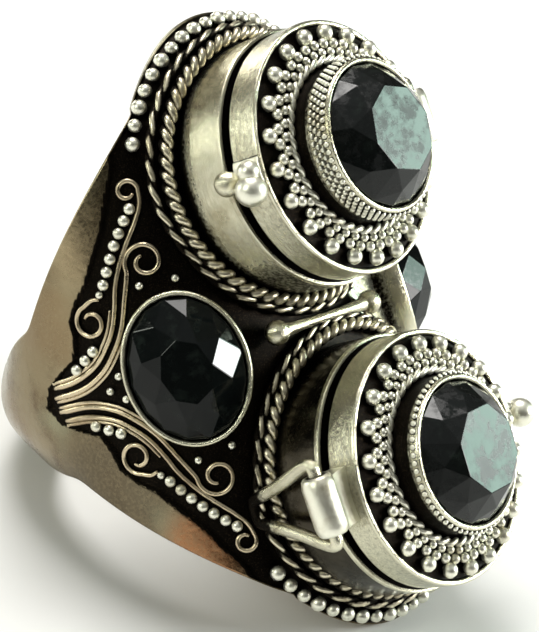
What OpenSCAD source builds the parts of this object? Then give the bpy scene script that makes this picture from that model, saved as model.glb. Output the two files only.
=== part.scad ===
// Double locket poison ring: a wide saddle band, two hinged lidded cups side by side along the
// finger, and an oval cut stone on each shoulder.
// The ring is drawn upright about its finger axis, then laid down on its lower side.

/* [Finger hole and band] */
// Radius of the finger hole
bore_r = 9.3; // [8.5:0.1:9.6]
// Height of the hole's centre above the centre that the sizes are drawn from
bore_rise = 0.2; // [0:0.05:0.4]
// Radius of the gently bent head plate
head_bend_r = 24.5; // [22:0.5:28]
// Height of the head plate's top above the centre
head_top = 11.5; // [11.3:0.1:12]
// Radius of the shoulders and the shank's outside
shank_r = 12.1; // [11.8:0.1:12.6]
// Height of the shank circle's centre
shank_rise = 0.8; // [0.5:0.1:1]
// Half width of the shank where the shoulders begin
shoulder_w = 4.3; // [3.8:0.1:5]
// Growth of the half width for each degree up the shoulder
flare = 0.19; // [0.15:0.01:0.21]
// Half width at the back of the shank
back_w = 2.8; // [2.6:0.1:4]
// How far the shank's crown stands above its edges at the back
back_dome = 1.3; // [0.6:0.1:1.4]

/* [Head] */
// Distance between the centres of the two lobes along the finger
lobe_pitch = 17.2; // [17:0.1:18]
// Radius of each lobe's outline
lobe_r = 9.45; // [9.2:0.05:9.8]
// Radius at which the lobe starts to slope down
lobe_break_r = 7.8; // [7.6:0.05:8]
// Radius of the twisted rope's ring
rope_ring_r = 7.78; // [7.5:0.02:7.8]
// Radius of the rope
rope_r = 0.42; // [0.3:0.02:0.5]
// Radius of the thin outer wire's ring
thin_ring_r = 8.35; // [8.2:0.05:8.5]
// Radius of the thin outer wire
thin_r = 0.2; // [0.15:0.01:0.25]
// Radius of the ring of grains along the lobe's edge
grain_ring_r = 8.95; // [8.8:0.05:9]
// Radius of one grain
grain_r = 0.38; // [0.34:0.02:0.44]
// Angle between neighbouring grains
grain_step = 6.6; // [6:0.1:10]

/* [Lockets] */
// Radius of a cup
cup_r = 7.2; // [7:0.1:7.3]
// Thickness of the inner lip that the lid closes over
lip_wall = 0.45; // [0.35:0.05:0.6]
// Height of the inner lip above the cup's rim
lip_rise = 0.85; // [0.5:0.05:0.9]
// Height of the cup's rim above the centre
cup_top = 14.21; // [14:0.05:14.5]
// Height of the cup's floor above the centre
cup_floor = 12.1; // [12:0.05:12.4]
// Radius of a lid
lid_r = 7; // [6.9:0.05:7.1]
// Thickness of the lid's wall
lid_wall = 0.5; // [0.4:0.05:0.6]
// Gap between the cup's rim and the lid's lower edge
lid_gap = 0.45; // [0.3:0.05:0.6]
// Height of the lid's upper edge above the centre
lid_top = 16.4; // [16.2:0.05:16.6]
// Radius of the big beads round the lid
big_bead_r = 0.42; // [0.3:0.02:0.45]
// Number of big beads round the lid
big_beads = 22; // [18:1:24]
// Radius of the lid's stone collar at its foot
collar_foot_r = 4.5; // [4.4:0.05:4.9]
// Radius of the bezel wall that holds the lid's stone
bezel_r = 4.24; // [4.2:0.02:4.4]
// Height of the upper bezel's rim above the centre
upper_bezel_top = 19.1; // [18.8:0.1:19.5]
// Height of the lower bezel's rim above the centre
lower_bezel_top = 18.5; // [18.3:0.1:19]

/* [Stones] */
// Girdle radius of a lid stone
stone_r = 3.9; // [3.8:0.05:3.9]
// Height of a lid stone's crown above the bezel
stone_crown = 1.5; // [1:0.1:1.8]
// Size of a lid stone's table as a share of the stone's width
stone_table = 0.62; // [0.5:0.02:0.7]
// Half length of a shoulder stone's bezel, along the finger
side_half_l = 4.26; // [4.1:0.02:4.4]
// Half width of a shoulder stone's bezel
side_half_w = 3.44; // [3.3:0.02:3.6]
// Thickness of a shoulder bezel's wall
side_wall = 0.36; // [0.3:0.02:0.4]
// Lean of a shoulder stone away from the head's normal
side_lean = 45.5; // [42:0.5:48]
// Distance of a shoulder bezel's rim from the finger axis
side_rim = 13.3; // [13.1:0.05:13.6]
// Height of a shoulder stone's crown above its bezel
side_crown = 1.8; // [1.2:0.1:2.2]
// Size of a shoulder stone's table as a share of the stone's width
side_table = 0.45; // [0.4:0.05:0.7]

/* [Hinges and clasps] */
// Height of the hinge pins above the centre
hinge_z = 15.2; // [15.1:0.05:15.3]
// Distance of a hinge pin from its lid's centre
hinge_out = 8.45; // [8.3:0.05:8.6]
// Distance of the upper hinge's middle from its lid's centre, along the finger
upper_hinge_shift = 0.2; // [0:0.05:0.6]
// Distance of the lower hinge's middle from its lid's centre, along the finger
lower_hinge_shift = 0.45; // [0:0.05:0.6]
// Radius of the hinge barrel
barrel_r = 0.95; // [0.8:0.05:1]
// Length of the hinge barrel
barrel_l = 3.2; // [3:0.1:3.6]
// Radius of the hinge pin
pin_r = 0.4; // [0.3:0.02:0.45]
// Running clearance of the pin in its barrel
pin_play = 0.05; // [0.03:0.01:0.08]
// Radius of the wire loop that ties the pin to the head
loop_r = 0.3; // [0.25:0.01:0.32]
// Radius of the lid's clasp ball
lid_ball_r = 0.84; // [0.7:0.02:0.86]
// Radius of the cup's clasp ball
cup_ball_r = 0.68; // [0.6:0.02:0.7]

/* [Resting] */
// Turn about X that lays the ring on its lower side
rest_tilt = 51.98; // [51:0.01:54]
// Height of the finger axis above the table
rest_height = 8.37; // [8:0.01:9]
// Shift along the table that centres the resting ring on the origin
rest_shift = 6.67; // [6:0.01:7]

/* [Hidden] */
$fn = 64;
cup_upper = [0.2, 8.5];
cup_lower = [-0.45, -9.05];
hinge_upper = [cup_upper[0] + hinge_out, cup_upper[1] + upper_hinge_shift, hinge_z];
hinge_lower = [cup_lower[0] - hinge_out, cup_lower[1] + lower_hinge_shift, hinge_z];
half_pitch = lobe_pitch / 2;
stone_gap = 0.06;
lip_play = 0.35;
silver = [0.80, 0.77, 0.70];
onyx = [0.04, 0.045, 0.045];
// Angles from the top at which the band's sections stand, one every band_step degrees
band_step = 5;
section_angles = [for (a = [0:band_step:355]) a > 180 ? a - 360 : a];
// Places across the band, as shares of its half width
section_shares = [-1, -0.94, -0.87, -0.75, -0.55, -0.3, 0, 0.3, 0.55, 0.75, 0.87, 0.94, 1];
// Radius to which the loft's inside runs, well within the finger hole
core_r = 6;
// Thickness of the lobe's sharp edge
edge_t = 0.6;

// A smooth step from 0 at e0 to 1 at e1
function ease(e0, e1, x) =
    let (t = min(1, max(0, (x - e0) / (e1 - e0)))) t * t * (3 - 2 * t);

// Distance from the centre to a circle of radius r whose centre is c up, at angle a from the top
function circle_reach(c, r, a) = c * cos(a) + sqrt(r * r - pow(c * sin(a), 2));

// The band's outer radius along its middle line
function crown(a) =
    let (
        head = circle_reach(head_top - head_bend_r, head_bend_r, a),
        shank = circle_reach(shank_rise, shank_r, a)
    )
    (head + shank) / 2 - sqrt(pow((head - shank) / 2, 2) + 0.06);

// Half width of a lobe's outline at x across the head
function lobe_width(x) = half_pitch + sqrt(max(0, lobe_r * lobe_r - x * x));

// The band's half width at angle a from the top
function half_width(a) =
    let (
        b = abs(a),
        x = crown(b) * sin(b),
        shoulder = shoulder_w + flare * (88 - b),
        shank = back_w + (shoulder_w - 0.1 - back_w) * ease(120, 88, b)
    )
    b < 38 ? lobe_width(x) : (shoulder + shank) / 2 + sqrt(pow(shoulder - shank, 2) + 0.3) / 2;

// How far the band's edges lie below its middle line
function dome(a) = back_dome * ease(45, 150, abs(a));

// How far the lobes slope down towards their edges
function slope(x, y) =
    0.95 * max(0, norm([x, abs(y) - half_pitch]) - lobe_break_r) * ease(5.5, 9.5, abs(y));

// The band's outer radius at angle a and at y along the finger
function outer(a, y) =
    let (c = crown(a))
    c - dome(a) * pow(y / half_width(a), 2)
      - slope(c * sin(a), y) * cos(a) * (1 - ease(34, 44, abs(a)));

// How far the underside of a lobe is set back from its outline
function setback(a) = 5.5 * (1 - ease(0, 50, abs(a)));

// A point at angle a from the top, radius r and y along the finger
function at(a, r, y) = [r * sin(a), y, r * cos(a)];

// One section of the band, from its lower edge to its upper edge and back inside the finger hole
function section(a) =
    let (w = half_width(a), wi = w - setback(a), t = edge_t * (1 - ease(40, 50, abs(a))) + 0.1)
    concat(
        [for (s = section_shares) at(a, outer(a, s * w), s * w)],
        [
            at(a, outer(a, w) - t, w),
            at(a, bore_r - 0.3, wi),
            at(a, core_r, wi),
            at(a, core_r, -wi),
            at(a, bore_r - 0.3, -wi),
            at(a, outer(a, -w) - t, -w)
        ]
    );

// A closed ring of sections, each a list of as many points
module ring_of(sections) {
    n = len(sections);
    m = len(sections[0]);
    polyhedron(
        points = [for (s = sections) each s],
        faces = [
            for (i = [0:n - 1], j = [0:m - 1])
            let (k = (i + 1) % n, l = (j + 1) % m)
            each [
                [i * m + j, i * m + l, k * m + l],
                [i * m + j, k * m + l, k * m + j]
            ]
        ]
    );
}

// Height of the head's surface at x across and y along the finger
function head_z(x, y) = head_top - x * x / (2 * head_bend_r) - slope(x, y);

// A wire laid on the head in a ring of radius ring_r round a lobe's centre
module laid_ring(side, ring_r, wire_r, lift, steps, sides) {
    ring_of([
        for (i = [0:steps - 1])
        let (
            t = i * 360 / steps,
            x = ring_r * cos(t),
            y = ring_r * sin(t)
        )
        [
            for (j = [0:sides - 1])
            let (
                p = j * 360 / sides,
                u = wire_r * cos(p),
                z = head_z(x, side * half_pitch + y) + lift + wire_r * sin(p)
            )
            [x + u * cos(t), side * half_pitch + y + u * sin(t), z]
        ]
    ]);
}

// Round grains along the outer edge of a lobe
module grains(side) {
    for (t = [-66:grain_step:66]) {
        x = grain_ring_r * sin(t);
        y = side * (half_pitch + grain_ring_r * cos(t));
        translate([x, y, head_z(x, y) + 0.12]) sphere(r = grain_r, $fn = 8);
    }
}

// The band's body with its ropes and grains, still filled inside the finger hole
module saddle() {
    resize([0, 2 * (half_pitch + lobe_r), 0]) union() {
        ring_of([for (a = section_angles) section(a)]);
        for (side = [-1, 1]) {
            laid_ring(side, rope_ring_r, rope_r, 0.18, 60, 6);
            laid_ring(side, thin_ring_r, thin_r, 0.08, 60, 4);
            grains(side);
        }
    }
}

// An upright cup, open at the top, with the inner lip that the lid closes over
module cup(place) {
    lip_r = lid_r - lid_wall - lip_play;
    translate([place[0], place[1], 0]) rotate_extrude() polygon([
        [0, bore_r + 1.2],
        [cup_r - 0.5, bore_r + 1.2],
        [cup_r, bore_r + 1.7],
        [cup_r, cup_top],
        [lip_r, cup_top],
        [lip_r, cup_top + lip_rise],
        [lip_r - lip_wall, cup_top + lip_rise],
        [lip_r - lip_wall, cup_floor],
        [0, cup_floor]
    ]);
}

// An oval outline set in from the shoulder bezel's outline
module oval(inset) {
    polygon([
        for (t = [0:7.5:352.5]) [(side_half_w - inset) * cos(t), (side_half_l - inset) * sin(t)]
    ]);
}

// Turns what is drawn along +Z onto a shoulder, on the side given by -1 or 1
module on_shoulder(side) {
    rotate([0, side * side_lean, 0]) children();
}

// A round rod between two points
module rod(from, to, r) {
    d = to - from;
    translate(from) rotate([0, acos(d[2] / norm(d)), atan2(d[1], d[0])]) cylinder(r = r, h = norm(d));
}

// A rod along the finger, centred on a hinge
module hinge_rod(hinge, r, h) {
    translate(hinge) rotate([90, 0, 0]) cylinder(r = r, h = h, center = true);
}

// The hinge's fixed half: a pin along the finger and the wire loop that ties it to the head
module hinge_pin(hinge, side) {
    half = barrel_l / 2 + 0.65;
    foot_in = 0.65;
    foot_half = 0.62;
    foot_z = 9.3;
    hinge_rod(hinge, pin_r, 2 * half);
    for (end = [-1, 1]) {
        corner = hinge + [0, end * half, 0];
        rod(corner, [hinge[0] - side * foot_in, hinge[1] + end * foot_half, foot_z], loop_r);
        translate(corner) sphere(r = pin_r, $fn = 16);
    }
}

// The moving half of a hinge, soldered to the lid's wall, before its bore is cut
module hinge_barrel(hinge, side) {
    hinge_rod(hinge, barrel_r, barrel_l);
    translate(hinge + [-side * 0.75, 0, 0.1]) cube([1.6, barrel_l - 0.4, 1.1], center = true);
}

// The cup's clasp ball with the short post that holds it to the wall
module cup_ball(place, side) {
    y = place[1] + 0.31 + side * 0.2;
    ball = [place[0] + side * (cup_r + 0.75), y, cup_top + 0.55];
    translate(ball) sphere(r = cup_ball_r, $fn = 32);
    rod(ball, [place[0] + side * (cup_r - 0.1), y, cup_top - 0.5], 0.3);
}

// The lid's clasp ball with its post and the wire beside it
module lid_latch(place, side) {
    y = place[1] - 0.38 + side * 0.2;
    wall_x = place[0] + side * (lid_r - 0.15);
    ball = [place[0] + side * (lid_r + 1.15), y, lid_top];
    translate(ball) sphere(r = lid_ball_r, $fn = 32);
    rod(ball, [wall_x, y + 0.2, lid_top - 0.5], 0.3);
    rod(ball, [wall_x, y + 1.7, lid_top - 0.55], 0.25);
}

// A bar across the valley between the lockets, with a ball at each end
module valley_bar() {
    z = head_top + 0.3;
    ends = [[-4.6, 0.13, z], [3.45, -0.4, z]];
    rod(ends[0], ends[1], 0.4);
    for (end = ends) translate(end) sphere(r = 0.7, $fn = 32);
}

// A lid with its raised rim, rings of beads and the stone's collar, whose bezel ends at rim
module lid(place, hinge, hinge_side, rim) {
    low = cup_top + lid_gap;
    roof = lid_top - 0.6;
    inner = lid_r - lid_wall;
    difference() {
        union() {
            translate([place[0], place[1], 0]) {
                rotate_extrude() polygon([
                    [0, roof],
                    [inner, roof],
                    [inner, low],
                    [lid_r, low],
                    [lid_r, lid_top + 0.08],
                    [lid_r - 0.15, lid_top + 0.15],
                    [lid_r - 0.3, lid_top],
                    [5.3, lid_top + 0.35],
                    [collar_foot_r, lid_top + 0.45],
                    [collar_foot_r, lid_top + 0.8],
                    [bezel_r, rim - 1],
                    [bezel_r, rim],
                    [stone_r + stone_gap, rim],
                    [stone_r + stone_gap, rim - 1.9],
                    [0, rim - 1.9]
                ]);
                rotate_extrude() translate([5.58, lid_top + 0.5]) circle(r = 0.25);
                rotate_extrude() translate([5.05, lid_top + 0.52]) circle(r = 0.2);
                for (i = [0:big_beads - 1]) rotate([0, 0, i * 360 / big_beads])
                    translate([6.2, 0, lid_top + 0.36]) sphere(r = big_bead_r, $fn = 24);
            }
            hinge_barrel(hinge, hinge_side);
            lid_latch(place, -hinge_side);
        }
        hinge_rod(hinge, pin_r + pin_play, barrel_l + 1);
    }
}

// A cut stone: a table, eight kites and eight stars round it, a girdle and a tapered back
module cut_stone(rx, ry, girdle_z, crown_h, table, depth) {
    level = function (share, z, count, turn)
        [for (i = [0:count - 1]) let (t = turn + i * 360 / count) [rx * share * cos(t), ry * share * sin(t), z]];
    // First index of each ring of points
    mid = 8;
    girdle = 16;
    lower = 32;
    back = 48;
    polyhedron(
        points = concat(
            level(table, girdle_z + crown_h, 8, 0),
            level(1 - 0.45 * (1 - table), girdle_z + crown_h * 0.55, 8, 22.5),
            level(1, girdle_z, 16, 0),
            level(1, girdle_z - 0.35, 16, 0),
            level(0.8, girdle_z - depth, 16, 0)
        ),
        faces = concat(
            [[for (i = [0:7]) 7 - i]],
            [for (i = [0:7]) let (n = (i + 1) % 8, p = (i + 7) % 8) each [
                [i, n, mid + i],
                [i, mid + i, girdle + 2 * i],
                [i, girdle + 2 * i, mid + p],
                [mid + i, girdle + 2 * i + 1, girdle + 2 * i],
                [mid + i, girdle + 2 * n, girdle + 2 * i + 1]
            ]],
            [for (ring = [girdle, lower], i = [0:15]) let (n = (i + 1) % 16) each [
                [ring + i, ring + n, ring + 16 + n],
                [ring + i, ring + 16 + n, ring + 16 + i]
            ]],
            [[for (i = [0:15]) back + i]]
        )
    );
}

// Lays the upright ring on its lower side
module lie() {
    translate([0, rest_shift, rest_height]) rotate([rest_tilt, 0, 0]) children();
}

module band() {
    color(silver) lie() union() {
        difference() {
            union() {
                saddle();
                for (side = [-1, 1]) on_shoulder(side)
                    translate([0, 0, bore_r + 0.9]) linear_extrude(side_rim - bore_r - 0.9) oval(0);
            }
            for (side = [-1, 1]) on_shoulder(side)
                translate([0, 0, side_rim - 1.5]) linear_extrude(4) oval(side_wall);
            translate([0, 0, bore_rise]) rotate([90, 0, 0]) cylinder(r = bore_r, h = 50, center = true);
        }
        cup(cup_upper);
        cup(cup_lower);
        valley_bar();
        hinge_pin(hinge_upper, 1);
        hinge_pin(hinge_lower, -1);
        cup_ball(cup_upper, -1);
        cup_ball(cup_lower, 1);
    }
}

module lid_upper() {
    color(silver) lie() lid(cup_upper, hinge_upper, 1, upper_bezel_top);
}

module lid_lower() {
    color(silver) lie() lid(cup_lower, hinge_lower, -1, lower_bezel_top);
}

module lid_stone(place, rim) {
    color(onyx) lie() translate([place[0], place[1], 0])
        cut_stone(stone_r, stone_r, rim, stone_crown, stone_table, 1.9 - stone_gap);
}

module side_stone(side) {
    color(onyx) lie() on_shoulder(side) cut_stone(
        side_half_w - side_wall - stone_gap, side_half_l - side_wall - stone_gap,
        side_rim, side_crown, side_table, 1.5 - stone_gap
    );
}

band();
lid_upper();
lid_lower();
lid_stone(cup_upper, upper_bezel_top);  // stone_upper
lid_stone(cup_lower, lower_bezel_top);  // stone_lower
side_stone(-1);  // side_stone_near
side_stone(1);  // side_stone_far
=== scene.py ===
import math

import bpy
import numpy as np
from mathutils import Matrix, Vector


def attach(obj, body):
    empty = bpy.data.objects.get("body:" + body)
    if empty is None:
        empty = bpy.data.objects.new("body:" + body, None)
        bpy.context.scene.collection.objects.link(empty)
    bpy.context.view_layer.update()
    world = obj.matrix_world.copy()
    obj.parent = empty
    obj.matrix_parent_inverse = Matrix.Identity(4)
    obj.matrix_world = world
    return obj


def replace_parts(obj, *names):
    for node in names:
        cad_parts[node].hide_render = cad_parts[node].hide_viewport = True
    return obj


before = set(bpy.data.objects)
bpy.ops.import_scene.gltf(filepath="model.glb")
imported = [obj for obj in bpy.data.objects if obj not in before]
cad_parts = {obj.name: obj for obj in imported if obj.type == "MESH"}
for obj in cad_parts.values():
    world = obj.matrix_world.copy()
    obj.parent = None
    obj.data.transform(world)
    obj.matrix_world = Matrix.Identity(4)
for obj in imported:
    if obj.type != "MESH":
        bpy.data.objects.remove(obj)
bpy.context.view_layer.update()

# Sizes are in millimetres in the upright ring's own axes: x across, y along the finger, z up
# through the head. place() lays the ring on its lower side and turns millimetres into metres.

# Resting pose
REST_TILT = 51.98
REST_HEIGHT = 8.37
REST_SHIFT = 6.67

# Finger hole and band
BORE_R = 9.3
BORE_RISE = 0.2
HEAD_BEND_R = 24.5
HEAD_TOP = 11.5
SHANK_R = 12.1
SHANK_RISE = 0.8
SHOULDER_W = 4.3
FLARE = 0.19
BACK_W = 2.8
BACK_DOME = 1.3
HEAD_SETBACK = 5.5
HEAD_EDGE = 0.35
BORE_SKIN = 0.01
EDGE_BEVEL = 0.18

# Degrees from the top at which the lobes end, the shoulders end and the shank has its full form
LOBE_END = 38
SHOULDER_END = 88
SHANK_FULL = 120

# Blackened ground, scrolls and grains on the shoulders. The last is in degrees from the top.
GROUND_DEPTH = 0.24
MM_PER_DEGREE = 0.215
STRAND_R = 0.14
THIN_STRAND_R = 0.10
BIG_GRAIN_R = 0.32
SMALL_GRAIN_R = 0.22
MIDDLE_GRAIN_AT = 66.3

# Head
HALF_PITCH = 8.6
LOBE_R = 9.45
LOBE_BREAK_R = 7.8
LOBE_FALL = 0.95
ROPE_RING_R = 7.6
THIN_RING_R = 8.12
GRAIN_RING_R = 8.8
GRAIN_R = 0.42
GRAIN_STEP = 6.6
SIDE_GRAINS = 10

# Lockets
CUP_UPPER = (0.2, 8.5)
CUP_LOWER = (-0.45, -9.05)
CUP_R = 7.2
CUP_TOP = 14.21
CUP_FLOOR = 12.1
LID_R = 7.0
LID_LOW = 14.66
LID_TOP = 16.4
LID_ROOF_T = 0.4
LIP_R = 6.15
BIG_BEADS = 22
SMALL_BEADS = 44
COLLAR_BEADS = 64
COLLAR_STEP = 0.28
LID_ROPE_R = 4.72
BEZEL_R = 4.24
UPPER_BEZEL_TOP = 19.1
LOWER_BEZEL_TOP = 18.5

# Stones
STONE_R = 3.9
STONE_CROWN = 1.5
STONE_TABLE = 0.62
SIDE_HALF_L = 4.26
SIDE_HALF_W = 3.44
SIDE_WALL = 0.3
SIDE_LEAN = 45.5
SIDE_RIM = 13.3
SIDE_CROWN = 1.8
SIDE_TABLE = 0.45
SIDE_PLAY = 0.03
GIRDLE_SINK = 0.08
SOFT_EDGE = 0.00003

# Hinges and clasps
HINGE_Z = 15.2
HINGE_OUT = 8.45
UPPER_HINGE_SHIFT = 0.2
LOWER_HINGE_SHIFT = 0.45
BARREL_R = 0.95
BARREL_L = 3.2
PIN_R = 0.4
LID_BALL_R = 0.84
SECOND_BALL_R = 0.6
CUP_BALL_R = 0.68
LOOP_WIRE_R = 0.36
BAR_BALL_R = 0.7

RING, UPPER, LOWER = "ring_body", "upper_lid_body", "lower_lid_body"

TILT = math.radians(REST_TILT)
LIE = np.array([
    [1, 0, 0],
    [0, math.cos(TILT), -math.sin(TILT)],
    [0, math.sin(TILT), math.cos(TILT)],
])


def place(points):
    """Ring millimetres to the frame's metres."""
    return (np.asarray(points, float) @ LIE.T + [0, REST_SHIFT, REST_HEIGHT]) / 1000


# Shape rules shared with the solid band


def ease(e0, e1, x):
    """A smooth step from 0 at e0 to 1 at e1."""
    t = np.clip((np.asarray(x, float) - e0) / (e1 - e0), 0, 1)
    return t * t * (3 - 2 * t)


def sind(a):
    return np.sin(np.radians(a))


def cosd(a):
    return np.cos(np.radians(a))


def turn_angles(count):
    """Angles of count points spread evenly round a circle, in radians."""
    return np.arange(count) * 2 * math.pi / count


def circle_reach(c, r, a):
    """Distance from the centre to a circle of radius r whose centre is c up, at angle a from the top."""
    return c * cosd(a) + np.sqrt(r * r - (c * sind(a)) ** 2)


def crown(a):
    """The band's outer radius along its middle line."""
    head = circle_reach(HEAD_TOP - HEAD_BEND_R, HEAD_BEND_R, a)
    shank = circle_reach(SHANK_RISE, SHANK_R, a)
    return (head + shank) / 2 - np.sqrt(((head - shank) / 2) ** 2 + 0.06)


def half_width(a):
    """The band's half width at angle a from the top."""
    b = np.abs(a)
    x = crown(b) * sind(b)
    lobe = HALF_PITCH + np.sqrt(np.maximum(LOBE_R**2 - x * x, 0))
    shoulder = SHOULDER_W + FLARE * (SHOULDER_END - b)
    shank = BACK_W + (SHOULDER_W - 0.1 - BACK_W) * (1 - ease(SHOULDER_END, SHANK_FULL, b))
    blended = (shoulder + shank) / 2 + np.sqrt((shoulder - shank) ** 2 + 0.3) / 2
    return np.where(b < LOBE_END, lobe, blended)


def slope(x, y):
    """How far the lobes slope down towards their edges."""
    out = np.maximum(np.hypot(x, np.abs(y) - HALF_PITCH) - LOBE_BREAK_R, 0)
    return LOBE_FALL * out * ease(5.5, 9.5, np.abs(y))


def outer(a, y):
    """The band's outer radius at angle a from the top and y along the finger."""
    c = crown(a)
    dome = BACK_DOME * ease(45, 150, np.abs(a)) * (y / half_width(a)) ** 2
    return c - dome - slope(c * sind(a), y) * cosd(a) * (1 - ease(34, 44, np.abs(a)))


def on_band(a, y, lift):
    r = outer(a, y) + lift
    return np.stack([r * sind(a), y + 0 * r, r * cosd(a)], -1)


def head_z(x, y):
    """Height of the head's surface at x across and y along the finger."""
    return HEAD_TOP - x * x / (2 * HEAD_BEND_R) - slope(x, y)


def ground_edge(y):
    """Angle from the top at which the blackened ground ends, at y along the finger."""
    reach = [0, 1.1, 1.7, 2.2, 3.3, 4.3, 5.2, 5.9, 7.1, 8.4, 9.9, 11.4, 12.6, 14]
    angle = [88, 84.5, 79, 73.5, 71.3, 70.8, 67.5, 63.5, 59.5, 55, 51.5, 47.5, 47, 60]
    return np.interp(np.abs(y), reach, angle)


def ground_depth(a, y):
    """Share of the full depth that the blackened ground lies below the polished border."""
    return ease(-0.04, 0.28, (ground_edge(y) - np.abs(a)) * MM_PER_DEGREE)


# Mesh building


def make(name, points, faces, body, material, patina=None, brush=None, smooth=True, sharp=None):
    mesh = bpy.data.meshes.new(name)
    mesh.from_pydata(place(points).tolist(), [], [list(map(int, f)) for f in faces])
    mesh.validate()
    mesh.update()
    if patina is not None:
        layer = mesh.attributes.new("patina", "FLOAT", "POINT")
        layer.data.foreach_set("value", np.asarray(patina, np.float32))
    if brush is not None:
        layer = mesh.attributes.new("brush", "FLOAT_VECTOR", "POINT")
        layer.data.foreach_set("vector", np.asarray(brush, np.float32).ravel())
    if smooth:
        mesh.polygons.foreach_set("use_smooth", [True] * len(mesh.polygons))
    if sharp:
        mesh.set_sharp_from_angle(angle=math.radians(sharp))
    piece = bpy.data.objects.new(name, mesh)
    bpy.context.scene.collection.objects.link(piece)
    mesh.materials.append(material)
    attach(piece, body)
    return piece


class Batch:
    """Collects shapes that become one mesh."""

    def __init__(self):
        self.points, self.faces, self.patina, self.brush, self.count = [], [], [], [], 0

    def add(self, points, faces, patina, brush=None):
        points = np.asarray(points, float)
        self.points.append(points)
        self.faces += [[i + self.count for i in f] for f in faces]
        self.patina.append(np.broadcast_to(patina, len(points)))
        self.brush.append(points if brush is None else brush)
        self.count += len(points)

    def make(self, name, body, material, **options):
        return make(
            name,
            np.concatenate(self.points),
            self.faces,
            body,
            material,
            np.concatenate(self.patina),
            np.concatenate(self.brush),
            **options,
        )


def grid_faces(rows, cols, close_rows=False, close_cols=False):
    faces = []
    for i in range(rows if close_rows else rows - 1):
        for j in range(cols if close_cols else cols - 1):
            k, m = (i + 1) % rows, (j + 1) % cols
            faces.append((i * cols + j, i * cols + m, k * cols + m, k * cols + j))
    return faces


def flipped(faces):
    return [face[::-1] for face in faces]


def normalised(v):
    return v / np.maximum(np.linalg.norm(v, axis=-1, keepdims=True), 1e-9)


def side_and_up(path, normal, closed):
    """Unit vectors across a path at each point. normal points away from what the path lies on."""
    if closed:
        along = normalised(np.roll(path, -1, 0) - np.roll(path, 1, 0))
    else:
        along = normalised(np.gradient(path, axis=0))
    side = normalised(np.cross(along, normal))
    return side, np.cross(side, along)


def add_tube(batch, path, normal, radius, sides, closed=False, bright=(-0.5, 0.55)):
    """Sweeps a round wire along a path. bright gives the heights where polish starts and is full."""
    path, normal = np.asarray(path, float), np.asarray(normal, float)
    n = len(path)
    radius = np.broadcast_to(radius, n)
    side, up = side_and_up(path, normal, closed)
    t = turn_angles(sides)
    ring = side[:, None] * np.cos(t)[None, :, None] + up[:, None] * np.sin(t)[None, :, None]
    points = path[:, None] + ring * radius[:, None, None]
    worn = np.broadcast_to(ease(bright[0], bright[1], np.sin(t)), (n, sides))
    faces = grid_faces(n, sides, close_rows=closed, close_cols=True)
    points, worn = points.reshape(-1, 3), worn.reshape(-1)
    if not closed:
        faces += [tuple(range(sides - 1, -1, -1)), tuple((n - 1) * sides + i for i in range(sides))]
    batch.add(points, faces, worn)


def add_ball(batch, centre, radius, up, rings=7, sides=12, bright=(-0.45, 0.5), squash=1.0):
    """A grain whose polished pole points up, flattened along up by squash."""
    up = normalised(np.asarray(up, float))
    off_axis = [0.31, 0.87, 0.11]
    side = normalised(np.cross(up, off_axis))
    other = np.cross(up, side)
    latitudes = np.linspace(-math.pi / 2, math.pi / 2, rings + 2)[1:-1]
    t = turn_angles(sides)
    flat = side[None] * np.cos(t)[:, None] + other[None] * np.sin(t)[:, None]
    points = [np.asarray(centre) - up * radius * squash]
    worn = [-1.0]
    for lat in latitudes:
        points += list(centre + flat * math.cos(lat) * radius + up * math.sin(lat) * radius * squash)
        worn += [math.sin(lat)] * sides
    points.append(np.asarray(centre) + up * radius * squash)
    worn.append(1.0)
    last = len(points) - 1
    faces = [(0, 1 + (j + 1) % sides, 1 + j) for j in range(sides)]
    for i in range(rings - 1):
        for j in range(sides):
            k = (j + 1) % sides
            a = 1 + i * sides
            faces.append((a + j, a + k, a + sides + k, a + sides + j))
    a = 1 + (rings - 1) * sides
    faces += [(a + j, a + (j + 1) % sides, last) for j in range(sides)]
    batch.add(points, faces, ease(bright[0], bright[1], np.array(worn)))


def rounded(profile, radius):
    """Rounds the corners of an open profile of (r, z, patina) points."""
    steps = 3
    profile = [np.asarray(p, float) for p in profile]
    out = [profile[0]]
    for before, corner, after in zip(profile, profile[1:], profile[2:]):
        to_before, to_after = before[:2] - corner[:2], after[:2] - corner[:2]
        lb, la = np.linalg.norm(to_before), np.linalg.norm(to_after)
        cut = min(radius, lb * 0.45, la * 0.45)
        p = corner.copy()
        q = corner.copy()
        p[:2] += to_before / max(lb, 1e-9) * cut
        q[:2] += to_after / max(la, 1e-9) * cut
        for k in range(steps + 1):
            t = k / steps
            out.append((1 - t) ** 2 * p + 2 * t * (1 - t) * corner + t * t * q)
    out.append(profile[-1])
    return np.array(out)


def add_lathe(batch, centre, profile, radius=0.08):
    """Turns a profile of (r, z, patina) about an upright axis, its corners rounded to radius."""
    profile = rounded(profile, radius)
    steps = 160
    t = turn_angles(steps)
    m = len(profile)
    r = np.broadcast_to(profile[:, 0], (steps, m))
    x = centre[0] + r * np.cos(t)[:, None]
    y = centre[1] + r * np.sin(t)[:, None]
    z = np.broadcast_to(profile[:, 1], (steps, m))
    points = np.stack([x, y, z], -1).reshape(-1, 3)
    worn = np.broadcast_to(profile[:, 2], (steps, m)).reshape(-1)
    way_x, way_y = np.cos(t)[:, None] + 0 * z, np.sin(t)[:, None] + 0 * z
    round_way = np.stack([way_x, way_y, z + profile[:, 0] * 0.9], -1)
    faces = flipped(grid_faces(steps, m, close_rows=True))
    batch.add(points, faces, worn, round_way.reshape(-1, 3))


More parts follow.
